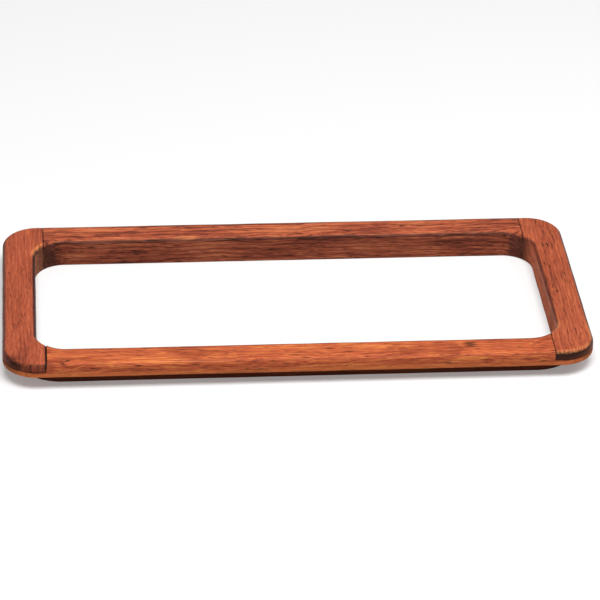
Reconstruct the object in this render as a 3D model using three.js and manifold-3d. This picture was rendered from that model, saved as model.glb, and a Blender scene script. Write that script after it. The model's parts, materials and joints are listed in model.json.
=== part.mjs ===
// Loop hand rail of oiled teak: a flat rectangular frame whose flange lies on a panel while the
// lip under it drops into a cut-out. Four straight-grained rails make it. Each corner is an open
// mortise and tenon: the long rail's tenon lies between the two cheeks of the end rail's fork,
// and a blind dowel, driven up from the underside, locks the joint.
//
// Millimetres, +Z up. The origin is the middle of the underside, and X runs along the long rails.

import * as THREE from 'three';
import { mergeVertices } from 'three/addons/utils/BufferGeometryUtils.js';
import Module from 'manifold-3d';

// The frame
const LENGTH = 444.5; // over the two end rails
const DEPTH = 215.9; // over the two long rails
const HEIGHT = 22.2;
const RAIL_WIDTH = 25.4; // of each finished rail, between the corner fillets
const OUTER_CORNER_RADIUS = 26.4;
const INNER_CORNER_RADIUS = 23;
const EDGE_RADIUS = 4.8; // round-over along the top edges, outside and inside

// The lip under the flange
const FLANGE_THICKNESS = 11.7;
const REBATE_WIDTH = 11.1;
const LIP_CORNER_RADIUS = 33;

// The corner joints
const STOCK_WIDTH = 32.1; // of the sawn stock, which the fillets leave at full width in the corners
const CHEEK_THICKNESS = 7.1; // of the fork's upper and lower cheek
const JOINT_GAP = 0.3; // for the glue, all round each tenon
const DOWEL_DIAMETER = 6.4;
const DOWEL_LENGTH = 18;
const DOWEL_CHAMFER = 0.6;
const DOWEL_INSET = 26; // from both outer faces, in the middle of the corner's wood

// Fineness
const ARC_STEPS = 12; // in a quarter turn of a corner
const EDGE_STEPS = 5; // across a rounded edge
const DOWEL_SIDES = 24;
const MARGIN = 20; // how far a cutter runs past the wood

const wasm = await Module();
wasm.setup();

// ---- Solids and cuts -------------------------------------------------------------------------

// The solid that a closed three.js geometry bounds.
function solidOf(geometry) {
  const bare = geometry.clone();
  bare.deleteAttribute('normal');
  bare.deleteAttribute('uv');
  const merged = mergeVertices(bare);
  return new wasm.Manifold(new wasm.Mesh({
    numProp: 3,
    vertProperties: new Float32Array(merged.attributes.position.array),
    triVerts: new Uint32Array(merged.index.array),
  }));
}

// A three.js geometry, flat shaded, of a solid.
function geometryOf(solid) {
  const mesh = solid.getMesh();
  const geometry = new THREE.BufferGeometry();
  geometry.setAttribute('position', new THREE.BufferAttribute(mesh.vertProperties, 3));
  geometry.setIndex(new THREE.BufferAttribute(mesh.triVerts, 1));
  const flat = geometry.toNonIndexed();
  flat.computeVertexNormals();
  return flat;
}

// A box between two corners, each [x, y, z].
function boxBetween(low, high) {
  const size = high.map((value, axis) => value - low[axis]);
  const geometry = new THREE.BoxGeometry(...size);
  geometry.translate(...low.map((value, axis) => value + size[axis] / 2));
  return solidOf(geometry);
}

// ---- The ring of wood ------------------------------------------------------------------------

// A rectangle centred on the origin, with quarter-circle corners, added to a path.
function traceRoundedRectangle(path, length, depth, radius) {
  const x = length / 2 - radius;
  const y = depth / 2 - radius;
  path.absarc(x, y, radius, 0, Math.PI / 2);
  path.absarc(-x, y, radius, Math.PI / 2, Math.PI);
  path.absarc(-x, -y, radius, Math.PI, 1.5 * Math.PI);
  path.absarc(x, -y, radius, 1.5 * Math.PI, 2 * Math.PI);
  path.closePath();
}

// The whole frame before it is divided: both top edges rounded, and the rebate cut below the flange.
function frameRing() {
  const outline = new THREE.Shape();
  traceRoundedRectangle(outline, LENGTH, DEPTH, OUTER_CORNER_RADIUS);
  const opening = new THREE.Path();
  const openingLength = LENGTH - 2 * RAIL_WIDTH;
  const openingDepth = DEPTH - 2 * RAIL_WIDTH;
  traceRoundedRectangle(opening, openingLength, openingDepth, INNER_CORNER_RADIUS);
  outline.holes.push(opening);
  const blank = new THREE.ExtrudeGeometry(outline, {
    depth: HEIGHT + MARGIN,
    curveSegments: ARC_STEPS,
    bevelEnabled: true,
    bevelThickness: EDGE_RADIUS,
    bevelSize: EDGE_RADIUS,
    bevelOffset: -EDGE_RADIUS,
    bevelSegments: EDGE_STEPS,
  });
  blank.translate(0, 0, -EDGE_RADIUS - MARGIN);
  const below = boxBetween([-LENGTH, -LENGTH, -2 * MARGIN], [LENGTH, LENGTH, 0]);
  return solidOf(blank).subtract(below).subtract(rebateCutter());
}

// Everything under the flange that lies outside the lip.
function rebateCutter() {
  const outside = new THREE.Shape();
  traceRoundedRectangle(outside, LENGTH + MARGIN, DEPTH + MARGIN, OUTER_CORNER_RADIUS);
  const lip = new THREE.Path();
  traceRoundedRectangle(lip, LENGTH - 2 * REBATE_WIDTH, DEPTH - 2 * REBATE_WIDTH, LIP_CORNER_RADIUS);
  outside.holes.push(lip);
  const cutter = new THREE.ExtrudeGeometry(outside, {
    depth: HEIGHT - FLANGE_THICKNESS + MARGIN,
    curveSegments: ARC_STEPS,
    bevelEnabled: false,
  });
  cutter.translate(0, 0, -MARGIN);
  return solidOf(cutter);
}

// ---- The corner joints -----------------------------------------------------------------------

const halfLength = LENGTH / 2;
const halfDepth = DEPTH / 2;
const tenonBottom = CHEEK_THICKNESS;
const tenonTop = HEIGHT - CHEEK_THICKNESS;

// Where the wood of one long rail may be: the length between its shoulders, and both tenons.
function longRailRegion(side) {
  const shoulder = halfLength - STOCK_WIDTH;
  const outer = side * (halfDepth + MARGIN);
  const tenonEdge = side * (halfDepth - STOCK_WIDTH);
  const betweenShoulders = boxBetween(
    [-shoulder, Math.min(outer, 0), -MARGIN],
    [shoulder, Math.max(outer, 0), HEIGHT + MARGIN],
  );
  const tenons = boxBetween(
    [-halfLength - MARGIN, Math.min(outer, tenonEdge), tenonBottom],
    [halfLength + MARGIN, Math.max(outer, tenonEdge), tenonTop],
  );
  return betweenShoulders.add(tenons);
}

// Where the wood of one end rail may be: its full length, less an open mortise at both ends.
function endRailRegion(side) {
  const outer = side * (halfLength + MARGIN);
  const inner = side * (halfLength - STOCK_WIDTH + JOINT_GAP);
  const mortiseEnd = halfDepth - STOCK_WIDTH - JOINT_GAP;
  let region = boxBetween(
    [Math.min(outer, inner), -halfDepth - MARGIN, -MARGIN],
    [Math.max(outer, inner), halfDepth + MARGIN, HEIGHT + MARGIN],
  );
  for (const end of [-1, 1]) {
    const mouth = end * (halfDepth + 2 * MARGIN);
    region = region.subtract(boxBetween(
      [-LENGTH, Math.min(mouth, end * mortiseEnd), tenonBottom - JOINT_GAP],
      [LENGTH, Math.max(mouth, end * mortiseEnd), tenonTop + JOINT_GAP],
    ));
  }
  return region;
}

// A dowel, or the hole for one, standing on the underside with a chamfer at both ends.
function dowelGeometry(diameter, length, chamfer) {
  const radius = diameter / 2;
  const profile = [
    new THREE.Vector2(0, 0),
    new THREE.Vector2(radius - chamfer, 0),
    new THREE.Vector2(radius, chamfer),
    new THREE.Vector2(radius, length - chamfer),
    new THREE.Vector2(radius - chamfer, length),
    new THREE.Vector2(0, length),
  ];
  const geometry = new THREE.LatheGeometry(profile, DOWEL_SIDES);
  geometry.rotateX(Math.PI / 2);
  return geometry;
}

const corners = [
  { name: 'front_left', x: -1, y: -1 },
  { name: 'front_right', x: 1, y: -1 },
  { name: 'back_right', x: 1, y: 1 },
  { name: 'back_left', x: -1, y: 1 },
];

function dowelPlace(corner) {
  return [corner.x * (halfLength - DOWEL_INSET), corner.y * (halfDepth - DOWEL_INSET)];
}

// All four dowel holes, each a gap wider and deeper than its dowel.
function dowelHoles() {
  const holes = corners.map((corner) => {
    const hole = dowelGeometry(DOWEL_DIAMETER + 2 * JOINT_GAP, DOWEL_LENGTH + 1 + MARGIN, 0);
    hole.translate(...dowelPlace(corner), -MARGIN);
    return solidOf(hole);
  });
  return holes.reduce((all, hole) => all.add(hole));
}

// ---- The parts -------------------------------------------------------------------------------

// Oiled teak; the end rails are a little darker and browner than the long rails.
function teak(color) {
  return new THREE.MeshStandardMaterial({ color, roughness: 0.5, metalness: 0 });
}

const rail = new THREE.Group();

function addPart(name, geometry, material) {
  const mesh = new THREE.Mesh(geometry, material);
  mesh.name = name;
  rail.add(mesh);
  return mesh;
}

const drilledRing = frameRing().subtract(dowelHoles());

addPart('front_long_rail', geometryOf(drilledRing.intersect(longRailRegion(-1))), teak(0xc46a3e));
addPart('back_long_rail', geometryOf(drilledRing.intersect(longRailRegion(1))), teak(0xb25f43));
addPart('left_end_rail', geometryOf(drilledRing.intersect(endRailRegion(-1))), teak(0xb96044));
addPart('right_end_rail', geometryOf(drilledRing.intersect(endRailRegion(1))), teak(0xb55d42));

for (const corner of corners) {
  const dowel = dowelGeometry(DOWEL_DIAMETER, DOWEL_LENGTH, DOWEL_CHAMFER);
  const mesh = addPart(`corner_dowel_${corner.name}`, dowel, teak(0xd6b083));
  mesh.position.set(...dowelPlace(corner), 0);
}

export default rail;
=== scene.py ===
"""A loop grab rail of oiled teak: a flat rectangular frame, planed and oiled, lying on a table.

Metres, +Z up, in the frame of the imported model. Two long rails run along X and two end rails
along Y. Each long rail ends in a tenon that lies between the two cheeks of an end rail, and a
dowel from below locks each corner.
"""

import json
import math

import bmesh
import bpy
import numpy as np
from mathutils import Matrix, Vector

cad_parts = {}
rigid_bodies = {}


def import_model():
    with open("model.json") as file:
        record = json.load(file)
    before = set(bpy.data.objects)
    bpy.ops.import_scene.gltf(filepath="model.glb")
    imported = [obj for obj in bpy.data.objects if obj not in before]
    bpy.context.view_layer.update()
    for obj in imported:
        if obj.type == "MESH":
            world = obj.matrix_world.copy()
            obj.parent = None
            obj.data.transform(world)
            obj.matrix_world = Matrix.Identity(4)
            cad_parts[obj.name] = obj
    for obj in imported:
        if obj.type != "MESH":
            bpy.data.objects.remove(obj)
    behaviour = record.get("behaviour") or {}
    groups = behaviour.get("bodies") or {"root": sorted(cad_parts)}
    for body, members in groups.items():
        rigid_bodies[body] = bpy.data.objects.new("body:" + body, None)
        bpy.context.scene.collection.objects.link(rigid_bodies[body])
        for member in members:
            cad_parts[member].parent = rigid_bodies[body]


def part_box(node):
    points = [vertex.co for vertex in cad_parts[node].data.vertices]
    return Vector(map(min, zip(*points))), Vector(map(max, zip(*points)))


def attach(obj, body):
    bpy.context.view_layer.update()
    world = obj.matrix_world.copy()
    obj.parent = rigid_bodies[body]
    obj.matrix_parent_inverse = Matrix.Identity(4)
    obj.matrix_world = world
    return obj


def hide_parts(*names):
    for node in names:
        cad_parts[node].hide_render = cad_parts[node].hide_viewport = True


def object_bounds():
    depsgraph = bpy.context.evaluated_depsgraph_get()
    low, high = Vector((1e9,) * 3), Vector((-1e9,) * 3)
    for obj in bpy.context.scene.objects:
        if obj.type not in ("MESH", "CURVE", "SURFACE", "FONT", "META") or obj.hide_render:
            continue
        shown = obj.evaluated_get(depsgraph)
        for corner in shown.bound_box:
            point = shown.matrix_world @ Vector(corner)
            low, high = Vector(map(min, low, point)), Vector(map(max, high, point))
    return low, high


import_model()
cad_low, cad_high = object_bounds()
scene = bpy.context.scene


# ---- The camera ------------------------------------------------------------------------------
# A long lens in front of the frame, a little to the left and thirty degrees above the table. It
# is turned about its own axis by one degree, so the rails climb slightly to the right.

LENS_MM = 196.4
SENSOR_MM = 36.0
CAMERA_DISTANCE = 2.5514
CAMERA_ELEVATION = math.radians(29.65)
CAMERA_AZIMUTH = math.radians(-5.07)
CAMERA_ROLL = math.radians(1.21)
CAMERA_TARGET = Vector((0.00841, 0.01836, 0.0))

camera_data = bpy.data.cameras.new("camera")
camera_data.lens = LENS_MM
camera_data.sensor_width = SENSOR_MM
camera_data.clip_start = 0.1
camera_data.clip_end = 50.0
camera = bpy.data.objects.new("camera", camera_data)
scene.collection.objects.link(camera)

back = Vector((
    math.sin(CAMERA_AZIMUTH) * math.cos(CAMERA_ELEVATION),
    -math.cos(CAMERA_AZIMUTH) * math.cos(CAMERA_ELEVATION),
    math.sin(CAMERA_ELEVATION),
))
level_right = (-back).cross(Vector((0.0, 0.0, 1.0))).normalized()
level_up = level_right.cross(-back)
right = math.cos(CAMERA_ROLL) * level_right + math.sin(CAMERA_ROLL) * level_up
up = math.cos(CAMERA_ROLL) * level_up - math.sin(CAMERA_ROLL) * level_right
turned = Matrix((right, up, back)).transposed().to_4x4()
camera.matrix_world = Matrix.Translation(CAMERA_TARGET + back * CAMERA_DISTANCE) @ turned
scene.camera = camera


# ---- The table and the light -----------------------------------------------------------------
# A wide, pale, matt table that glows a little, so its shadows stay soft. Most of the light is a
# large soft box overhead and in front; a weak one stands on the right, in a pale room.

TABLE_HALF = 4.0
TABLE_GLOW = 0.24
ROOM_LIGHT = 0.30

table_mesh = bpy.data.meshes.new("table")
table_corners = np.array([(-1, -1, 0), (1, -1, 0), (1, 1, 0), (-1, 1, 0)], float) * TABLE_HALF
table_mesh.from_pydata(table_corners.tolist(), [], [(0, 1, 2, 3)])
table = bpy.data.objects.new("table", table_mesh)
scene.collection.objects.link(table)

table_paint = bpy.data.materials.new("table_paint")
table_paint.use_nodes = True
nodes = table_paint.node_tree.nodes
links = table_paint.node_tree.links
nodes.clear()
shader = nodes.new("ShaderNodeBsdfPrincipled")
shader.label = "Pale matt paint"
shader.inputs["Base Color"].default_value = (0.50, 0.50, 0.50, 1.0)
shader.inputs["Roughness"].default_value = 0.9
shader.inputs["Specular IOR Level"].default_value = 0.2
shader.inputs["Emission Color"].default_value = (1.0, 1.0, 1.0, 1.0)
shader.inputs["Emission Strength"].default_value = TABLE_GLOW
output = nodes.new("ShaderNodeOutputMaterial")
output.label = "Table"
output.location = (300, 0)
links.new(shader.outputs["BSDF"], output.inputs["Surface"])
table_mesh.materials.append(table_paint)

room = bpy.data.worlds.new("pale_room")
room.use_nodes = True
room.node_tree.nodes["Background"].inputs["Color"].default_value = (1.0, 1.0, 1.0, 1.0)
room.node_tree.nodes["Background"].inputs["Strength"].default_value = ROOM_LIGHT
scene.world = room
scene.view_settings.view_transform = "Standard"


def add_soft_box(name, place, width, height, watts):
    """A rectangular lamp at a place, its face turned to the frame's middle."""
    data = bpy.data.lights.new(name, "AREA")
    data.shape = "RECTANGLE"
    data.size = width
    data.size_y = height
    data.energy = watts
    lamp = bpy.data.objects.new(name, data)
    to_frame = -Vector(place)
    lamp.rotation_euler = to_frame.to_track_quat("-Z", "Y").to_euler()
    lamp.location = place
    scene.collection.objects.link(lamp)


add_soft_box("key_box", place=(0.15, -0.85, 2.6), width=1.8, height=1.3, watts=110.0)
add_soft_box("right_box", place=(1.3, -0.3, 1.3), width=0.5, height=0.5, watts=4.0)


# ---- The long rails --------------------------------------------------------------------------
# Two straight teak rails, front and back, planed from sawn stock. The flange's top edges are
# rounded over, the lip under it is set back by a rebate, and each end is cut to a tenon.

HEIGHT = cad_high.z
HALF_LENGTH = cad_high.x
HALF_DEPTH = cad_high.y
RAIL_WIDTH = 0.0254
OUTER_CORNER_RADIUS = 0.0264
INNER_CORNER_RADIUS = 0.023
LIP_CORNER_RADIUS = 0.033
REBATE_WIDTH = 0.0111
FLANGE_BOTTOM = HEIGHT - 0.0117
CHEEK_THICKNESS = 0.0071
STOCK_WIDTH = 0.0321
JOINT_GAP = 0.0003
TOP_ROUNDING = 0.0048
FLANGE_EASING = 0.0010
BOTTOM_EASING = 0.0008
ROUNDING_STEPS = 10
EASING_STEPS = 4
BEND_PLACES = 16
CORNER_BEARINGS = np.linspace(math.pi / 2, 0.0, 40)

# An outline of the frame's plan: how far its straight sides stand from the middle, the radius
# of its corners, and which way the wood lies from it, inwards (-1) or outwards (+1).
OUTER = (HALF_LENGTH, HALF_DEPTH, OUTER_CORNER_RADIUS, -1)
OPENING = (HALF_LENGTH - RAIL_WIDTH, HALF_DEPTH - RAIL_WIDTH, INNER_CORNER_RADIUS, 1)
LIP = (HALF_LENGTH - REBATE_WIDTH, HALF_DEPTH - REBATE_WIDTH, LIP_CORNER_RADIUS, -1)


def reach(along, outline, inset, run_along_x):
    """How far an outline stands out from the frame's middle line, at places along that line.

    The outline is moved into the wood by the inset. Beside its straight stretch the reach is
    the arc centre plus the arc's radius; past the arc centre it falls as a circle does, to the
    centre plus the root of the radius squared less the square of the distance past the centre.
    """
    half_length, half_depth, radius, way = outline
    centre = (half_length - radius, half_depth - radius)
    centre_along, centre_out = centre if run_along_x else centre[::-1]
    arc = radius + way * inset
    past = np.maximum(np.abs(along) - centre_along, 0.0)
    return centre_out + np.sqrt(np.maximum(arc**2 - past**2, 0.0))


def edge_arc(outline, radius, height, rise, steps, onto_flat):
    """The rows of a quarter-round edge of an outline, as (outline, inset, height).

    At an angle from the wall the inset is the radius less radius times cosine, and the height
    is that of the wall's end, a radius short of the flat face, plus or minus radius times
    sine. onto_flat runs it from the wall to the flat face, otherwise it runs back.
    """
    angles = np.linspace(0.0, math.pi / 2, steps + 1)
    if not onto_flat:
        angles = angles[::-1]
    insets = radius * (1 - np.cos(angles))
    heights = height - rise * radius + rise * radius * np.sin(angles)
    return [(outline, inset, z) for inset, z in zip(insets, heights)]


def flat_rows(start, end, shares):
    """Rows across a flat face: each is the pair of rows it lies between, and its share of the way."""
    return [((start, end), share) for share in shares]


def upper_rows(bottom):
    """The section above a height: up the outer face, over the top, and down the inner face."""
    outer_top = edge_arc(OUTER, TOP_ROUNDING, HEIGHT, 1, ROUNDING_STEPS, True)
    inner_top = edge_arc(OPENING, TOP_ROUNDING, HEIGHT, 1, ROUNDING_STEPS, False)
    across = flat_rows(outer_top[-1], inner_top[0], (0.03, 0.2, 0.4, 0.6, 0.8, 0.97))
    return [(OUTER, 0.0, bottom), *outer_top, *across, *inner_top, (OPENING, 0.0, bottom)]


def lower_rows(top):
    """The section below a height: down the inner face, across the underside, up the lip."""
    inner_foot = edge_arc(OPENING, BOTTOM_EASING, 0.0, -1, EASING_STEPS, True)
    lip_foot = edge_arc(LIP, BOTTOM_EASING, 0.0, -1, EASING_STEPS, False)
    across = flat_rows(inner_foot[-1], lip_foot[0], (0.05, 0.35, 0.65, 0.95))
    return [(OPENING, 0.0, top), *inner_foot, *across, *lip_foot, (LIP, 0.0, top)]


def rebate_rows(bottom, top):
    """The outer side between two heights: up the lip, under the flange, up the outer face."""
    flange_foot = edge_arc(OUTER, FLANGE_EASING, FLANGE_BOTTOM, -1, EASING_STEPS, False)
    inner_corner = (LIP, 0.0, FLANGE_BOTTOM)
    across = flat_rows(inner_corner, flange_foot[0], (0.5, 0.95))
    return [(LIP, 0.0, bottom), inner_corner, *across, *flange_foot, (OUTER, 0.0, top)]


def straight_points(rows, places, run_along_x):
    """Points of section rows carried along a rail, as an array of rows by places by XY and Z.

    Each row is an outline at an inset and height, so its reach is worked out at every place at
    once. A row across a flat face is the share-weighted mean of the two rows that it lies
    between.
    """
    points = np.empty((len(rows), len(places), 3))
    for index, row in enumerate(rows):
        if len(row) == 2:
            pair, share = row
            ends = straight_points(pair, places, run_along_x)
            points[index] = ends[0] * (1 - share) + ends[1] * share
            continue
        outline, inset, height = row
        out = reach(places, outline, inset, run_along_x)
        points[index, :, 0] = places if run_along_x else out
        points[index, :, 1] = out if run_along_x else places
        points[index, :, 2] = height
    return points


def corner_points(rows, hub, bearings):
    """Points of section rows carried round a corner, on rays that fan out from a hub.

    A ray at a bearing meets the outline's long side, its short side or its corner arc. The
    first two distances are the gap to that side over the sine or cosine of the bearing. The
    third is the larger root of the ray's quadratic with the arc's circle.
    """
    points = np.empty((len(rows), len(bearings), 3))
    direction = np.stack([np.cos(bearings), np.sin(bearings)], axis=1)
    for index, row in enumerate(rows):
        if len(row) == 2:
            pair, share = row
            ends = corner_points(pair, hub, bearings)
            points[index] = ends[0] * (1 - share) + ends[1] * share
            continue
        outline, inset, height = row
        if outline is None:
            points[index] = (*hub, height)
            continue
        half_length, half_depth, radius, way = outline
        centre = np.array([half_length - radius, half_depth - radius])
        arc = radius + way * inset
        from_centre = np.array(hub) - centre
        slope = direction @ from_centre
        root = np.sqrt(np.maximum(slope**2 - from_centre @ from_centre + arc**2, 0.0))
        distance = root - slope
        with np.errstate(divide="ignore", invalid="ignore"):
            to_long_side = (centre[1] + arc - hub[1]) / direction[:, 1]
            to_short_side = (centre[0] + arc - hub[0]) / direction[:, 0]
        on_long_side = hub[0] + to_long_side * direction[:, 0] < centre[0]
        on_short_side = hub[1] + to_short_side * direction[:, 1] < centre[1]
        distance = np.where(on_long_side, to_long_side, distance)
        distance = np.where(on_short_side, to_short_side, distance)
        points[index, :, :2] = np.array(hub) + distance[:, None] * direction
        points[index, :, 2] = height
    return points


def grid_faces(rows, columns, closed):
    """Quads between neighbouring rows and columns of a grid; closed joins the last row to the first."""
    row = np.arange(rows if closed else rows - 1)[:, None]
    column = np.arange(columns - 1)[None, :]
    here = row * columns + column
    above = (row + 1) % rows * columns + column
    return np.stack([here, here + 1, above + 1, above], axis=-1).reshape(-1, 4)


def hand_planed(points):
    """The slight unevenness of planing and sanding, always towards the frame's middle.

    Each coordinate is drawn in by up to the unevenness, times a slow wave along the frame
    that runs from 0 to 1. The drop of Z fades to nothing at the underside.
    """
    unevenness = 0.00014
    x, y, z = points.T
    across = 0.5 + 0.5 * np.sin(31 * x + 9 * np.sin(17 * x) + 140 * z)
    lengthways = 0.5 + 0.5 * np.sin(43 * y + 7 * np.sin(21 * y) + 120 * z + 1.3)
    upwards = 0.5 + 0.5 * np.sin(37 * x + 5 * np.sin(23 * x) + 61 * y + 0.6)
    return np.stack([
        x - np.sign(x) * unevenness * lengthways,
        y - np.sign(y) * unevenness * across,
        z - unevenness * upwards * z / HEIGHT,
    ], axis=1)


def opened(points, openings):
    """A long rail's points, with its upper shoulders cut a little short or a little long.

    Above the tenon a point moves towards the rail's middle by that end's opening, times its
    share of the height above the tenon, times a ramp that falls to nothing 12 mm away. An
    opening below zero closes the joint instead. Past the middle of the glue nothing moves.
    """
    fade = 0.012
    x, y, z = points.T
    shoulder = HALF_LENGTH - STOCK_WIDTH
    tenon_top = HEIGHT - CHEEK_THICKNESS
    rise = np.clip((z - tenon_top) / (HEIGHT - tenon_top), 0.0, 1.0)
    near = np.clip(1 - (shoulder - np.abs(x)) / fade, 0.0, 1.0)
    near = np.where(np.abs(x) < shoulder + JOINT_GAP / 2, near, 0.0)
    opening = np.where(x < 0, openings[0], openings[1])
    return np.stack([x - np.sign(x) * opening * rise * near, y, z], axis=1)


CREASE_ANGLE = math.radians(40)


def closed_piece(name, points, faces, weld):
    """A smooth-shaded mesh object whose points closer together than the weld are made one.

    Faces that the weld squeezes to nothing are dissolved, and the rest are turned outwards.
    """
    mesh = bpy.data.meshes.new(name)
    mesh.from_pydata(points.tolist(), [], faces)
    surface = bmesh.new()
    surface.from_mesh(mesh)
    bmesh.ops.remove_doubles(surface, verts=surface.verts, dist=weld)
    bmesh.ops.dissolve_degenerate(surface, edges=surface.edges, dist=weld / 10)
    bmesh.ops.recalc_face_normals(surface, faces=surface.faces)
    surface.to_mesh(mesh)
    surface.free()
    mesh.shade_smooth()
    mesh.set_sharp_from_angle(angle=CREASE_ANGLE)
    piece = bpy.data.objects.new(name, mesh)
    scene.collection.objects.link(piece)
    return piece


def piece_from_patches(name, patches, caps, openings=(0.0, 0.0)):
    """A closed piece from grids of points and flat end polygons, which share their edge points.

    All the points are planed uneven, and opened at the joints, before they are welded.
    """
    points = []
    faces = []
    start = 0
    for grid, closed in patches:
        points.append(grid.reshape(-1, 3))
        faces.extend((grid_faces(grid.shape[0], grid.shape[1], closed) + start).tolist())
        start += grid.shape[0] * grid.shape[1]
    for cap in caps:
        points.append(cap)
        faces.append(list(range(start, start + len(cap))))
        start += len(cap)
    shaped = opened(hand_planed(np.concatenate(points)), openings)
    return closed_piece(name, shaped, faces, 1e-6)


def mirrored(points, x_side, y_side):
    """The same points on another side of the frame."""
    return points * np.array([x_side, y_side, 1])


def long_rail(name, side, openings):
    """A long rail: its section between the shoulders, and a tenon at each end.

    The section runs along X from shoulder to shoulder. Each tenon keeps only the rows between
    the cheeks, fanned out from the point where the shoulder meets the opening. openings are
    how far the joints at its left and right end have opened at the top.
    """
    shoulder = HALF_LENGTH - STOCK_WIDTH
    tenon_bottom = CHEEK_THICKNESS
    tenon_top = HEIGHT - CHEEK_THICKNESS
    bend = OPENING[0] - INNER_CORNER_RADIUS
    into_bend = np.linspace(bend, shoulder, BEND_PLACES)
    places = np.concatenate([-into_bend[::-1], np.linspace(-bend, bend, 90)[1:-1], into_bend])
    upper = upper_rows(tenon_top)
    lower = lower_rows(tenon_bottom)
    outside = rebate_rows(tenon_bottom, tenon_top)
    body = straight_points([*upper, *lower, *outside[1:-1]], places, True)
    patches = [(mirrored(body, 1, side), True)]
    caps = []
    hub = (shoulder, reach(np.array([shoulder]), OPENING, 0.0, True)[0])
    tenon_rows = [(None, 0.0, tenon_bottom), *outside, (None, 0.0, tenon_top)]
    tenon = corner_points(tenon_rows, hub, CORNER_BEARINGS)
    upper_face = straight_points(upper, np.array([shoulder]), True)[:, 0]
    lower_face = straight_points(lower, np.array([shoulder]), True)[:, 0]
    for end in (-1, 1):
        patches.append((mirrored(tenon, end, side), True))
        caps.append(mirrored(tenon[:, -1], end, side))
        caps.append(mirrored(upper_face, end, side))
        caps.append(mirrored(lower_face, end, side))
    return piece_from_patches(name, patches, caps, openings)


SEAM_WIDTH = 0.0008
MORTISE_SHOULDER = HALF_LENGTH - STOCK_WIDTH + JOINT_GAP
MORTISE_END = reach(np.array([MORTISE_SHOULDER]), OPENING, 0.0, True)[0]


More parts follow.
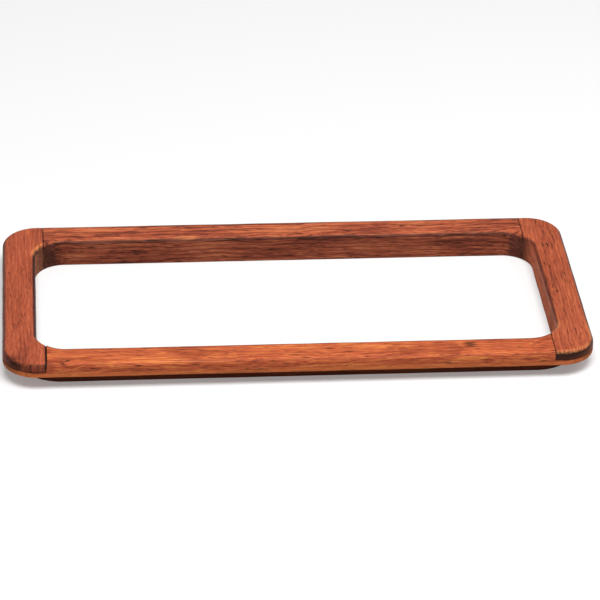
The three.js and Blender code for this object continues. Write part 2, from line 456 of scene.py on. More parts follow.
def oiled_teak(
    name, turn, log_place, tones, patches, rings_shown, pores_from, shade_by_facing, ends_shown, lower_edge_light,
    highlight_spot, highlight_shares, stain, soaked,
):
    """Oiled teak: fibres, growth rings and open pores, darker at its ends and joints, with painted
    shade on edges and faces turned from the light and in the rebate, and painted light on some edges.

    turn lays the grain along X, and log_place picks the board's place in a log whose pith runs
    along X. tones are the four colours of its fibres, from deep to golden. patches is how far
    broad patches shift that tone, rings_shown how strong the ring lines are, and pores_from
    the noise level above which a pore is open. shade_by_facing gives how much darker the wood is
    by the way it faces across the grain, as (facing, darkness) pairs: painted shade on edges and
    faces turned from the light, and on the back rail's inner face also a darker wood tone.
    ends_shown is how dark the end grain is, and lower_edge_light how strongly painted light pales
    the flange's lower edge. highlight_spot is where a painted highlight pales the wood, as X, Y
    and a radius, and highlight_shares are how pale the rounded edges and the upright faces are
    painted there. stain is a patch made darker, as X, Y, Z and a radius, and soaked is how dark
    the wood is beside the joints, at least and at most.
    """
    material = bpy.data.materials.new(name)
    material.use_nodes = True
    nodes = material.node_tree.nodes
    links = material.node_tree.links
    nodes.clear()

    board_frame = nodes.new("NodeFrame")
    board_frame.label = "The board's place in the log"
    place = nodes.new("ShaderNodeTexCoord")
    place.label = "Place and facing on the frame"
    place.parent = board_frame
    in_log = nodes.new("ShaderNodeMapping")
    in_log.label = "Grain along X, board in the log"
    in_log.parent = board_frame
    in_log.inputs["Rotation"].default_value = (0.0, 0.0, turn)
    in_log.inputs["Location"].default_value = log_place
    facing = nodes.new("ShaderNodeMapping")
    facing.label = "Facing, turned with the grain"
    facing.parent = board_frame
    facing.vector_type = "VECTOR"
    facing.inputs["Rotation"].default_value = (0.0, 0.0, turn)
    facing_parts = nodes.new("ShaderNodeSeparateXYZ")
    facing_parts.label = "Facing along and across the grain"
    facing_parts.parent = board_frame
    links.new(place.outputs["Object"], in_log.inputs["Vector"])
    links.new(place.outputs["Normal"], facing.inputs["Vector"])
    links.new(facing.outputs["Vector"], facing_parts.inputs["Vector"])

    wander_frame = nodes.new("NodeFrame")
    wander_frame.label = "The grain wanders along the board"
    wander_stretch = nodes.new("ShaderNodeMapping")
    wander_stretch.label = "Long slow waves"
    wander_stretch.parent = wander_frame
    wander_stretch.inputs["Scale"].default_value = (12.0, 26.0, 26.0)
    wander_noise = nodes.new("ShaderNodeTexNoise")
    wander_noise.label = "Wander"
    wander_noise.parent = wander_frame
    wander_noise.inputs["Scale"].default_value = 1.0
    wander_noise.inputs["Detail"].default_value = 2.0
    wander_reach = nodes.new("ShaderNodeVectorMath")
    wander_reach.label = "Shift across the grain only"
    wander_reach.parent = wander_frame
    wander_reach.operation = "MULTIPLY_ADD"
    wander_reach.inputs[1].default_value = (0.0, 0.011, 0.011)
    links.new(in_log.outputs["Vector"], wander_stretch.inputs["Vector"])
    links.new(wander_stretch.outputs["Vector"], wander_noise.inputs["Vector"])
    links.new(wander_noise.outputs["Color"], wander_reach.inputs[0])
    links.new(in_log.outputs["Vector"], wander_reach.inputs[2])

    fine_share = 0.75
    tone_spread = 0.26
    fibre_frame = nodes.new("NodeFrame")
    fibre_frame.label = "Fibres, streaks and broad patches"
    fibre_stretch = nodes.new("ShaderNodeMapping")
    fibre_stretch.label = "Streaks 35 mm long, over 1 mm wide"
    fibre_stretch.parent = fibre_frame
    fibre_stretch.inputs["Scale"].default_value = (28.0, 640.0, 640.0)
    fibres = nodes.new("ShaderNodeTexNoise")
    fibres.label = "Streaks"
    fibres.parent = fibre_frame
    fibres.inputs["Scale"].default_value = 1.0
    fibres.inputs["Detail"].default_value = 5.0
    fibres.inputs["Roughness"].default_value = 0.6
    fine_stretch = nodes.new("ShaderNodeMapping")
    fine_stretch.label = "Fibres 8 mm long, under 1 mm wide"
    fine_stretch.parent = fibre_frame
    fine_stretch.inputs["Scale"].default_value = (120.0, 1500.0, 1500.0)
    fine_fibres = nodes.new("ShaderNodeTexNoise")
    fine_fibres.label = "Fine fibres"
    fine_fibres.parent = fibre_frame
    fine_fibres.inputs["Scale"].default_value = 1.0
    fine_fibres.inputs["Detail"].default_value = 3.0
    patch_stretch = nodes.new("ShaderNodeMapping")
    patch_stretch.label = "Patches a finger long"
    patch_stretch.parent = fibre_frame
    patch_stretch.inputs["Scale"].default_value = (14.0, 90.0, 90.0)
    patch_noise = nodes.new("ShaderNodeTexNoise")
    patch_noise.label = "Patches"
    patch_noise.parent = fibre_frame
    patch_noise.inputs["Scale"].default_value = 1.0
    patch_noise.inputs["Detail"].default_value = 3.0
    with_fine = nodes.new("ShaderNodeMath")
    with_fine.label = "Streaks and fine fibres"
    with_fine.parent = fibre_frame
    with_fine.operation = "MULTIPLY_ADD"
    with_fine.inputs[1].default_value = fine_share
    with_patches = nodes.new("ShaderNodeMath")
    with_patches.label = "And patches"
    with_patches.parent = fibre_frame
    with_patches.operation = "MULTIPLY_ADD"
    with_patches.inputs[1].default_value = patches
    tone_range = nodes.new("ShaderNodeMapRange")
    tone_range.label = "Spread over all tones"
    tone_range.parent = fibre_frame
    middle_tone = 0.5 * (1.0 + fine_share + patches)
    tone_range.inputs["From Min"].default_value = middle_tone - tone_spread
    tone_range.inputs["From Max"].default_value = middle_tone + tone_spread
    fibre_tone = nodes.new("ShaderNodeValToRGB")
    fibre_tone.label = "Deep, red, orange and golden fibres"
    fibre_tone.parent = fibre_frame
    deep, red, orange, golden = tones
    fibre_tone.color_ramp.elements[0].position = 0.08
    fibre_tone.color_ramp.elements[0].color = (*deep, 1.0)
    fibre_tone.color_ramp.elements[1].position = 0.96
    fibre_tone.color_ramp.elements[1].color = (*golden, 1.0)
    fibre_tone.color_ramp.elements.new(0.38).color = (*red, 1.0)
    fibre_tone.color_ramp.elements.new(0.66).color = (*orange, 1.0)
    links.new(wander_reach.outputs["Vector"], fibre_stretch.inputs["Vector"])
    links.new(fibre_stretch.outputs["Vector"], fibres.inputs["Vector"])
    links.new(wander_reach.outputs["Vector"], fine_stretch.inputs["Vector"])
    links.new(fine_stretch.outputs["Vector"], fine_fibres.inputs["Vector"])
    links.new(in_log.outputs["Vector"], patch_stretch.inputs["Vector"])
    links.new(patch_stretch.outputs["Vector"], patch_noise.inputs["Vector"])
    links.new(fine_fibres.outputs["Fac"], with_fine.inputs[0])
    links.new(fibres.outputs["Fac"], with_fine.inputs[2])
    links.new(patch_noise.outputs["Fac"], with_patches.inputs[0])
    links.new(with_fine.outputs["Value"], with_patches.inputs[2])
    links.new(with_patches.outputs["Value"], tone_range.inputs["Value"])
    links.new(tone_range.outputs["Result"], fibre_tone.inputs["Fac"])

    ring_frame = nodes.new("NodeFrame")
    ring_frame.label = "Growth rings about the pith"
    rings = nodes.new("ShaderNodeTexWave")
    rings.label = "A ring every 3 mm"
    rings.parent = ring_frame
    rings.wave_type = "RINGS"
    rings.rings_direction = "X"
    rings.wave_profile = "SAW"
    rings.inputs["Scale"].default_value = 105.0
    rings.inputs["Distortion"].default_value = 2.2
    rings.inputs["Detail"].default_value = 3.0
    rings.inputs["Detail Scale"].default_value = 0.5
    late_wood = nodes.new("ShaderNodeMapRange")
    late_wood.label = "Thin dark late wood"
    late_wood.parent = ring_frame
    late_wood.interpolation_type = "SMOOTHSTEP"
    late_wood.inputs["From Min"].default_value = 0.62
    late_wood.inputs["From Max"].default_value = 1.0
    late_wood.inputs["To Max"].default_value = rings_shown
    ring_mix = nodes.new("ShaderNodeMix")
    ring_mix.label = "Ring lines"
    ring_mix.parent = ring_frame
    ring_mix.data_type = "RGBA"
    ring_mix.blend_type = "MULTIPLY"
    ring_mix.inputs[7].default_value = (0.34, 0.25, 0.28, 1.0)
    links.new(wander_reach.outputs["Vector"], rings.inputs["Vector"])
    links.new(rings.outputs["Fac"], late_wood.inputs["Value"])
    links.new(late_wood.outputs["Result"], ring_mix.inputs[0])
    links.new(fibre_tone.outputs["Color"], ring_mix.inputs[6])

    # Painted shade: edges and faces turned from the light are darkened by the way they face across the
    # grain; on the back rail's inner face this also stands for a darker wood tone.
    side_shade_frame = nodes.new("NodeFrame")
    side_shade_frame.label = "Painted shade and darker tone by facing"
    across = nodes.new("ShaderNodeMapRange")
    across.label = "Facing across the grain, 0 to 1"
    across.parent = side_shade_frame
    across.inputs["From Min"].default_value = -1.0
    side_shade_share = nodes.new("ShaderNodeValToRGB")
    side_shade_share.label = "Darkness of each side"
    side_shade_share.parent = side_shade_frame
    side_shade_share.color_ramp.interpolation = "EASE"
    side_shade_share.color_ramp.elements.remove(side_shade_share.color_ramp.elements[0])
    first_way, first_darkness = shade_by_facing[0]
    side_shade_share.color_ramp.elements[0].position = (1 + first_way) / 2
    side_shade_share.color_ramp.elements[0].color = (first_darkness, first_darkness, first_darkness, 1.0)
    for way, darkness in shade_by_facing[1:]:
        side_stop = side_shade_share.color_ramp.elements.new((1 + way) / 2)
        side_stop.color = (darkness, darkness, darkness, 1.0)
    side_shade_mix = nodes.new("ShaderNodeMix")
    side_shade_mix.label = "Painted side shade"
    side_shade_mix.parent = side_shade_frame
    side_shade_mix.data_type = "RGBA"
    side_shade_mix.blend_type = "MULTIPLY"
    side_shade_mix.inputs[7].default_value = (0.12, 0.20, 0.42, 1.0)
    links.new(facing_parts.outputs["Y"], across.inputs["Value"])
    links.new(across.outputs["Result"], side_shade_share.inputs["Fac"])
    links.new(side_shade_share.outputs["Color"], side_shade_mix.inputs[0])
    links.new(ring_mix.outputs[2], side_shade_mix.inputs[6])

    pore_frame = nodes.new("NodeFrame")
    pore_frame.label = "Open pores"
    pore_stretch = nodes.new("ShaderNodeMapping")
    pore_stretch.label = "Pores 10 mm long, under 1 mm wide"
    pore_stretch.parent = pore_frame
    pore_stretch.inputs["Scale"].default_value = (95.0, 1050.0, 1050.0)
    pore_noise = nodes.new("ShaderNodeTexNoise")
    pore_noise.label = "Pores"
    pore_noise.parent = pore_frame
    pore_noise.inputs["Scale"].default_value = 1.0
    pore_noise.inputs["Detail"].default_value = 1.5
    early_wood = nodes.new("ShaderNodeMapRange")
    early_wood.label = "Larger in the early wood"
    early_wood.parent = pore_frame
    early_wood.inputs["From Max"].default_value = 0.6
    early_wood.inputs["To Min"].default_value = 0.05
    early_wood.inputs["To Max"].default_value = -0.03
    pore_groups = nodes.new("ShaderNodeMath")
    pore_groups.label = "Pores by ring"
    pore_groups.parent = pore_frame
    pore_groups.operation = "ADD"
    patch_groups = nodes.new("ShaderNodeMath")
    patch_groups.label = "More in the dark patches"
    patch_groups.parent = pore_frame
    patch_groups.operation = "MULTIPLY_ADD"
    patch_groups.inputs[1].default_value = -0.22
    pore_depth = nodes.new("ShaderNodeMapRange")
    pore_depth.label = "Only the peaks are open"
    pore_depth.parent = pore_frame
    pore_depth.inputs["From Min"].default_value = pores_from - 0.11
    pore_depth.inputs["From Max"].default_value = pores_from - 0.02
    pore_mix = nodes.new("ShaderNodeMix")
    pore_mix.label = "Dark pores"
    pore_mix.parent = pore_frame
    pore_mix.data_type = "RGBA"
    pore_mix.inputs[7].default_value = (0.030, 0.009, 0.006, 1.0)
    links.new(wander_reach.outputs["Vector"], pore_stretch.inputs["Vector"])
    links.new(pore_stretch.outputs["Vector"], pore_noise.inputs["Vector"])
    links.new(rings.outputs["Fac"], early_wood.inputs["Value"])
    links.new(early_wood.outputs["Result"], pore_groups.inputs[0])
    links.new(pore_noise.outputs["Fac"], pore_groups.inputs[1])
    links.new(patch_noise.outputs["Fac"], patch_groups.inputs[0])
    links.new(pore_groups.outputs["Value"], patch_groups.inputs[2])
    links.new(patch_groups.outputs["Value"], pore_depth.inputs["Value"])
    links.new(pore_depth.outputs["Result"], pore_mix.inputs[0])
    links.new(side_shade_mix.outputs[2], pore_mix.inputs[6])

    end_frame = nodes.new("NodeFrame")
    end_frame.label = "End grain drinks more oil"
    facing_size = nodes.new("ShaderNodeMath")
    facing_size.label = "Either end"
    facing_size.parent = end_frame
    facing_size.operation = "ABSOLUTE"
    end_share = nodes.new("ShaderNodeMapRange")
    end_share.label = "Share of end grain"
    end_share.parent = end_frame
    end_share.interpolation_type = "SMOOTHSTEP"
    end_share.inputs["From Min"].default_value = 0.40
    end_share.inputs["From Max"].default_value = 0.78
    end_share.inputs["To Max"].default_value = ends_shown
    blotch_stretch = nodes.new("ShaderNodeMapping")
    blotch_stretch.label = "Slanted blotches"
    blotch_stretch.parent = end_frame
    blotch_stretch.inputs["Rotation"].default_value = (math.radians(38), 0.0, 0.0)
    blotch_stretch.inputs["Scale"].default_value = (300.0, 340.0, 150.0)
    blotch_noise = nodes.new("ShaderNodeTexNoise")
    blotch_noise.label = "Blotches"
    blotch_noise.parent = end_frame
    blotch_noise.inputs["Scale"].default_value = 1.0
    blotch_noise.inputs["Detail"].default_value = 4.0
    blotch_share = nodes.new("ShaderNodeMapRange")
    blotch_share.label = "Where oil has pooled"
    blotch_share.parent = end_frame
    blotch_share.inputs["From Min"].default_value = 0.36
    blotch_share.inputs["From Max"].default_value = 0.58
    blotch_share.inputs["To Min"].default_value = 2 * ends_shown - 1
    end_depth = nodes.new("ShaderNodeMath")
    end_depth.label = "Darkening of the end grain"
    end_depth.parent = end_frame
    end_depth.operation = "MULTIPLY"
    end_mix = nodes.new("ShaderNodeMix")
    end_mix.label = "Dark end grain"
    end_mix.parent = end_frame
    end_mix.data_type = "RGBA"
    end_mix.inputs[7].default_value = (0.018, 0.007, 0.006, 1.0)
    links.new(facing_parts.outputs["X"], facing_size.inputs[0])
    links.new(facing_size.outputs["Value"], end_share.inputs["Value"])
    links.new(in_log.outputs["Vector"], blotch_stretch.inputs["Vector"])
    links.new(blotch_stretch.outputs["Vector"], blotch_noise.inputs["Vector"])
    links.new(blotch_noise.outputs["Fac"], blotch_share.inputs["Value"])
    links.new(end_share.outputs["Result"], end_depth.inputs[0])
    links.new(blotch_share.outputs["Result"], end_depth.inputs[1])
    links.new(end_depth.outputs["Value"], end_mix.inputs[0])
    links.new(pore_mix.outputs[2], end_mix.inputs[6])

    # Painted shade: the lip and the flange's underside, under the flange on the outer side, are mixed
    # towards near black, standing in for the shade in the rebate.
    rebate_shade_frame = nodes.new("NodeFrame")
    rebate_shade_frame.label = "Painted shade in the rebate"
    in_plan = nodes.new("ShaderNodeVectorMath")
    in_plan.label = "Place in plan"
    in_plan.parent = rebate_shade_frame
    in_plan.operation = "MULTIPLY"
    in_plan.inputs[1].default_value = (1.0, 1.0, 0.0)
    outwards = nodes.new("ShaderNodeVectorMath")
    outwards.label = "Facing out of the frame"
    outwards.parent = rebate_shade_frame
    outwards.operation = "DOT_PRODUCT"
    outer_share = nodes.new("ShaderNodeMapRange")
    outer_share.label = "Outer faces only"
    outer_share.parent = rebate_shade_frame
    outer_share.inputs["From Max"].default_value = 0.06
    place_parts = nodes.new("ShaderNodeSeparateXYZ")
    place_parts.label = "Height above the table"
    place_parts.parent = rebate_shade_frame
    low_share = nodes.new("ShaderNodeMapRange")
    low_share.label = "Under the flange"
    low_share.parent = rebate_shade_frame
    low_share.inputs["From Min"].default_value = FLANGE_BOTTOM + 0.0002
    low_share.inputs["From Max"].default_value = FLANGE_BOTTOM - 0.0004
    low_share.inputs["To Max"].default_value = 0.85
    rebate_shade_share = nodes.new("ShaderNodeMath")
    rebate_shade_share.label = "In the rebate"
    rebate_shade_share.parent = rebate_shade_frame
    rebate_shade_share.operation = "MULTIPLY"
    rebate_shade_mix = nodes.new("ShaderNodeMix")
    rebate_shade_mix.label = "Painted rebate shade colour"
    rebate_shade_mix.parent = rebate_shade_frame
    rebate_shade_mix.data_type = "RGBA"
    rebate_shade_mix.inputs[7].default_value = (0.030, 0.009, 0.006, 1.0)
    links.new(place.outputs["Object"], in_plan.inputs[0])
    links.new(in_plan.outputs["Vector"], outwards.inputs[0])
    links.new(place.outputs["Normal"], outwards.inputs[1])
    links.new(outwards.outputs["Value"], outer_share.inputs["Value"])
    links.new(place.outputs["Object"], place_parts.inputs["Vector"])
    links.new(place_parts.outputs["Z"], low_share.inputs["Value"])
    links.new(outer_share.outputs["Result"], rebate_shade_share.inputs[0])
    links.new(low_share.outputs["Result"], rebate_shade_share.inputs[1])
    links.new(rebate_shade_share.outputs["Value"], rebate_shade_mix.inputs[0])
    links.new(end_mix.outputs[2], rebate_shade_mix.inputs[6])

    # Painted light: the lowest few millimetres of the flange's outer face are mixed towards golden
    # wood, standing in for light caught by that edge.
    lower_light_frame = nodes.new("NodeFrame")
    lower_light_frame.label = "Painted light on the flange's lower edge"
    lower_light_low = nodes.new("ShaderNodeMapRange")
    lower_light_low.label = "Lowest 3 mm of the flange"
    lower_light_low.parent = lower_light_frame
    lower_light_low.interpolation_type = "SMOOTHSTEP"
    lower_light_low.inputs["From Min"].default_value = FLANGE_BOTTOM + 0.0045
    lower_light_low.inputs["From Max"].default_value = FLANGE_BOTTOM + 0.0022
    lower_light_low.inputs["To Max"].default_value = lower_edge_light
    lower_light_high = nodes.new("ShaderNodeMath")
    lower_light_high.label = "But above the rebate"
    lower_light_high.parent = lower_light_frame
    lower_light_high.operation = "GREATER_THAN"
    lower_light_high.inputs[1].default_value = FLANGE_BOTTOM + 0.0002
    lower_light_band = nodes.new("ShaderNodeMath")
    lower_light_band.label = "The band"
    lower_light_band.parent = lower_light_frame
    lower_light_band.operation = "MULTIPLY"
    lower_light_share = nodes.new("ShaderNodeMath")
    lower_light_share.label = "On the outer side"
    lower_light_share.parent = lower_light_frame
    lower_light_share.operation = "MULTIPLY"
    lower_light_mix = nodes.new("ShaderNodeMix")
    lower_light_mix.label = "Painted pale light colour"
    lower_light_mix.parent = lower_light_frame
    lower_light_mix.data_type = "RGBA"
    lower_light_mix.inputs[7].default_value = (*golden, 1.0)
    links.new(place_parts.outputs["Z"], lower_light_low.inputs["Value"])
    links.new(place_parts.outputs["Z"], lower_light_high.inputs[0])
    links.new(lower_light_low.outputs["Result"], lower_light_band.inputs[0])
    links.new(lower_light_high.outputs["Value"], lower_light_band.inputs[1])
    links.new(lower_light_band.outputs["Value"], lower_light_share.inputs[0])
    links.new(outer_share.outputs["Result"], lower_light_share.inputs[1])
    links.new(lower_light_share.outputs["Value"], lower_light_mix.inputs[0])
    links.new(rebate_shade_mix.outputs[2], lower_light_mix.inputs[6])

    # Painted highlight: near a spot the rounded edges, and a little the upright faces, are mixed
    # towards pale golden wood, broken along the fibres.
    highlight_frame = nodes.new("NodeFrame")
    highlight_frame.label = "Painted highlight on rounded edges"
    from_spot = nodes.new("ShaderNodeVectorMath")
    from_spot.label = "Distance from the rubbed spot"
    from_spot.parent = highlight_frame
    from_spot.operation = "DISTANCE"
    spot_x, spot_y, spot_radius = highlight_spot
    from_spot.inputs[1].default_value = (spot_x, spot_y, 0.0)
    near_spot = nodes.new("ShaderNodeMapRange")
    near_spot.label = "Near the spot"
    near_spot.parent = highlight_frame
    near_spot.interpolation_type = "SMOOTHSTEP"
    near_spot.inputs["From Min"].default_value = spot_radius
    near_spot.inputs["From Max"].default_value = 0.6 * spot_radius
    edge_share = nodes.new("ShaderNodeValToRGB")
    edge_share.label = "Rounded edges first"
    edge_share.parent = highlight_frame
    on_edges, on_walls = highlight_shares
    edge_share.color_ramp.elements[0].position = 0.50
    edge_share.color_ramp.elements[0].color = (on_walls, on_walls, on_walls, 1.0)
    edge_share.color_ramp.elements[1].position = 0.99
    edge_share.color_ramp.elements[1].color = (0.0, 0.0, 0.0, 1.0)
    edge_share.color_ramp.elements.new(0.70).color = (on_edges, on_edges, on_edges, 1.0)
    edge_share.color_ramp.elements.new(0.92).color = (on_edges, on_edges, on_edges, 1.0)
    broken = nodes.new("ShaderNodeMapRange")
    broken.label = "Broken along the fibres"
    broken.parent = highlight_frame
    broken.inputs["From Min"].default_value = 0.42
    broken.inputs["From Max"].default_value = 0.58
    broken.inputs["To Min"].default_value = 0.25
    spot_share = nodes.new("ShaderNodeMath")
    spot_share.label = "Edges near the spot"
    spot_share.parent = highlight_frame
    spot_share.operation = "MULTIPLY"
    highlight_share = nodes.new("ShaderNodeMath")
    highlight_share.label = "How strong the painted highlight is"
    highlight_share.parent = highlight_frame
    highlight_share.operation = "MULTIPLY"
    highlight_mix = nodes.new("ShaderNodeMix")
    highlight_mix.label = "Painted highlight colour"
    highlight_mix.parent = highlight_frame
    highlight_mix.data_type = "RGBA"
    highlight_mix.inputs[7].default_value = (0.64, 0.24, 0.080, 1.0)
    links.new(in_plan.outputs["Vector"], from_spot.inputs[0])
    links.new(from_spot.outputs["Value"], near_spot.inputs["Value"])
    links.new(facing_parts.outputs["Z"], edge_share.inputs["Fac"])
    links.new(fibres.outputs["Fac"], broken.inputs["Value"])
    links.new(near_spot.outputs["Result"], spot_share.inputs[0])
    links.new(edge_share.outputs["Color"], spot_share.inputs[1])
    links.new(spot_share.outputs["Value"], highlight_share.inputs[0])
    links.new(broken.outputs["Result"], highlight_share.inputs[1])
    links.new(highlight_share.outputs["Value"], highlight_mix.inputs[0])
    links.new(lower_light_mix.outputs[2], highlight_mix.inputs[6])

    # A darker patch round a given place, drawn along the fibres.
    stain_frame = nodes.new("NodeFrame")
    stain_frame.label = "A darker patch, deepest along the fibres"
    from_stain = nodes.new("ShaderNodeVectorMath")
    from_stain.label = "Distance from the stain"
    from_stain.parent = stain_frame
    from_stain.operation = "DISTANCE"
    *stain_middle, stain_radius = stain
    from_stain.inputs[1].default_value = stain_middle
    near_stain = nodes.new("ShaderNodeMapRange")
    near_stain.label = "Fades outwards"
    near_stain.parent = stain_frame
    near_stain.inputs["From Min"].default_value = stain_radius
    near_stain.inputs["From Max"].default_value = 0.25 * stain_radius
    stain_streaks = nodes.new("ShaderNodeMapRange")
    stain_streaks.label = "Drawn along the fibres"
    stain_streaks.parent = stain_frame
    stain_streaks.inputs["From Min"].default_value = 0.62
    stain_streaks.inputs["From Max"].default_value = 0.45
    stain_streaks.inputs["To Min"].default_value = 0.45
    stain_share = nodes.new("ShaderNodeMath")
    stain_share.label = "How dark the stain is"
    stain_share.parent = stain_frame
    stain_share.operation = "MULTIPLY"
    stain_mix = nodes.new("ShaderNodeMix")
    stain_mix.label = "Darkened wood"
    stain_mix.parent = stain_frame
    stain_mix.data_type = "RGBA"
    stain_mix.blend_type = "MULTIPLY"
    stain_mix.inputs[7].default_value = (0.12, 0.13, 0.20, 1.0)
    links.new(place.outputs["Object"], from_stain.inputs[0])
    links.new(from_stain.outputs["Value"], near_stain.inputs["Value"])
    links.new(fibres.outputs["Fac"], stain_streaks.inputs["Value"])
    links.new(near_stain.outputs["Result"], stain_share.inputs[0])
    links.new(stain_streaks.outputs["Result"], stain_share.inputs[1])
    links.new(stain_share.outputs["Value"], stain_mix.inputs[0])
    links.new(highlight_mix.outputs[2], stain_mix.inputs[6])

    seam_frame = nodes.new("NodeFrame")
    seam_frame.label = "Glue and oil soaked in beside the joints"
    from_tenon = nodes.new("ShaderNodeVectorMath")
    from_tenon.label = "Place from the tenons' middle height"
    from_tenon.parent = seam_frame
    from_tenon.operation = "SUBTRACT"
    from_tenon.inputs[1].default_value = (0.0, 0.0, HEIGHT / 2)
    any_corner = nodes.new("ShaderNodeVectorMath")
    any_corner.label = "Any corner, above or below"
    any_corner.parent = seam_frame
    any_corner.operation = "ABSOLUTE"
    corner_parts = nodes.new("ShaderNodeSeparateXYZ")
    corner_parts.label = "Along, across and up"
    corner_parts.parent = seam_frame
    from_shoulder = nodes.new("ShaderNodeMath")
    from_shoulder.label = "Past the shoulder"
    from_shoulder.parent = seam_frame
    from_shoulder.operation = "SUBTRACT"
    from_shoulder.inputs[1].default_value = HALF_LENGTH - STOCK_WIDTH + JOINT_GAP / 2
    beside_shoulder = nodes.new("ShaderNodeMath")
    beside_shoulder.label = "Distance from the shoulder"
    beside_shoulder.parent = seam_frame
    beside_shoulder.operation = "ABSOLUTE"
    upright_line = nodes.new("ShaderNodeMapRange")
    upright_line.label = "Beside the shoulder"
    upright_line.parent = seam_frame
    upright_line.inputs["From Min"].default_value = SEAM_WIDTH
    upright_line.inputs["From Max"].default_value = JOINT_GAP / 2
    off_tenon = nodes.new("ShaderNodeMath")
    off_tenon.label = "Not on the tenon's side"
    off_tenon.parent = seam_frame
    off_tenon.operation = "GREATER_THAN"
    off_tenon.inputs[1].default_value = HEIGHT / 2 - CHEEK_THICKNESS
    upright_seam = nodes.new("ShaderNodeMath")
    upright_seam.label = "Upright seam"
    upright_seam.parent = seam_frame
    upright_seam.operation = "MULTIPLY"
    from_cheek = nodes.new("ShaderNodeMath")
    from_cheek.label = "Past the cheek"
    from_cheek.parent = seam_frame
    from_cheek.operation = "SUBTRACT"
    from_cheek.inputs[1].default_value = HEIGHT / 2 - CHEEK_THICKNESS + JOINT_GAP / 2
    beside_cheek = nodes.new("ShaderNodeMath")
    beside_cheek.label = "Distance from the cheek"
    beside_cheek.parent = seam_frame
    beside_cheek.operation = "ABSOLUTE"
    level_line = nodes.new("ShaderNodeMapRange")
    level_line.label = "Beside the cheek"
    level_line.parent = seam_frame
    level_line.inputs["From Min"].default_value = SEAM_WIDTH
    level_line.inputs["From Max"].default_value = JOINT_GAP / 2
    past_shoulder = nodes.new("ShaderNodeMath")
    past_shoulder.label = "Past the shoulder only"
    past_shoulder.parent = seam_frame
    past_shoulder.operation = "GREATER_THAN"
    past_shoulder.inputs[1].default_value = 0.0
    past_mortise = nodes.new("ShaderNodeMath")
    past_mortise.label = "Past the mortise's end only"
    past_mortise.parent = seam_frame
    past_mortise.operation = "GREATER_THAN"
    past_mortise.inputs[1].default_value = MORTISE_END
    in_corner = nodes.new("ShaderNodeMath")
    in_corner.label = "In the corner"
    in_corner.parent = seam_frame
    in_corner.operation = "MULTIPLY"
    level_seam = nodes.new("ShaderNodeMath")
    level_seam.label = "Level seam"
    level_seam.parent = seam_frame
    level_seam.operation = "MULTIPLY"
    seams = nodes.new("ShaderNodeMath")
    seams.label = "Either seam"
    seams.parent = seam_frame
    seams.operation = "MAXIMUM"
    seam_uneven = nodes.new("ShaderNodeMapRange")
    seam_uneven.label = "Soaked in unevenly"
    seam_uneven.parent = seam_frame
    seam_uneven.inputs["From Min"].default_value = 0.35
    seam_uneven.inputs["From Max"].default_value = 0.55
    least_soaked, most_soaked = soaked
    seam_uneven.inputs["To Min"].default_value = least_soaked
    seam_uneven.inputs["To Max"].default_value = most_soaked
    seam_share = nodes.new("ShaderNodeMath")
    seam_share.label = "Darkness beside the joints"
    seam_share.parent = seam_frame
    seam_share.operation = "MULTIPLY"
    seam_mix = nodes.new("ShaderNodeMix")
    seam_mix.label = "Dark seams"
    seam_mix.parent = seam_frame
    seam_mix.data_type = "RGBA"
    seam_mix.inputs[7].default_value = (0.012, 0.005, 0.005, 1.0)
    links.new(place.outputs["Object"], from_tenon.inputs[0])
    links.new(from_tenon.outputs["Vector"], any_corner.inputs[0])
    links.new(any_corner.outputs["Vector"], corner_parts.inputs["Vector"])
    links.new(corner_parts.outputs["X"], from_shoulder.inputs[0])
    links.new(from_shoulder.outputs["Value"], beside_shoulder.inputs[0])
    links.new(beside_shoulder.outputs["Value"], upright_line.inputs["Value"])
    links.new(corner_parts.outputs["Z"], off_tenon.inputs[0])
    links.new(upright_line.outputs["Result"], upright_seam.inputs[0])
    links.new(off_tenon.outputs["Value"], upright_seam.inputs[1])
    links.new(corner_parts.outputs["Z"], from_cheek.inputs[0])
    links.new(from_cheek.outputs["Value"], beside_cheek.inputs[0])
    links.new(beside_cheek.outputs["Value"], level_line.inputs["Value"])
    links.new(from_shoulder.outputs["Value"], past_shoulder.inputs[0])
    links.new(corner_parts.outputs["Y"], past_mortise.inputs[0])
    links.new(past_shoulder.outputs["Value"], in_corner.inputs[0])
    links.new(past_mortise.outputs["Value"], in_corner.inputs[1])
    links.new(level_line.outputs["Result"], level_seam.inputs[0])
    links.new(in_corner.outputs["Value"], level_seam.inputs[1])
    links.new(upright_seam.outputs["Value"], seams.inputs[0])
    links.new(level_seam.outputs["Value"], seams.inputs[1])
    links.new(blotch_noise.outputs["Fac"], seam_uneven.inputs["Value"])
    links.new(seams.outputs["Value"], seam_share.inputs[0])
    links.new(seam_uneven.outputs["Result"], seam_share.inputs[1])
    links.new(seam_share.outputs["Value"], seam_mix.inputs[0])
    links.new(stain_mix.outputs[2], seam_mix.inputs[6])

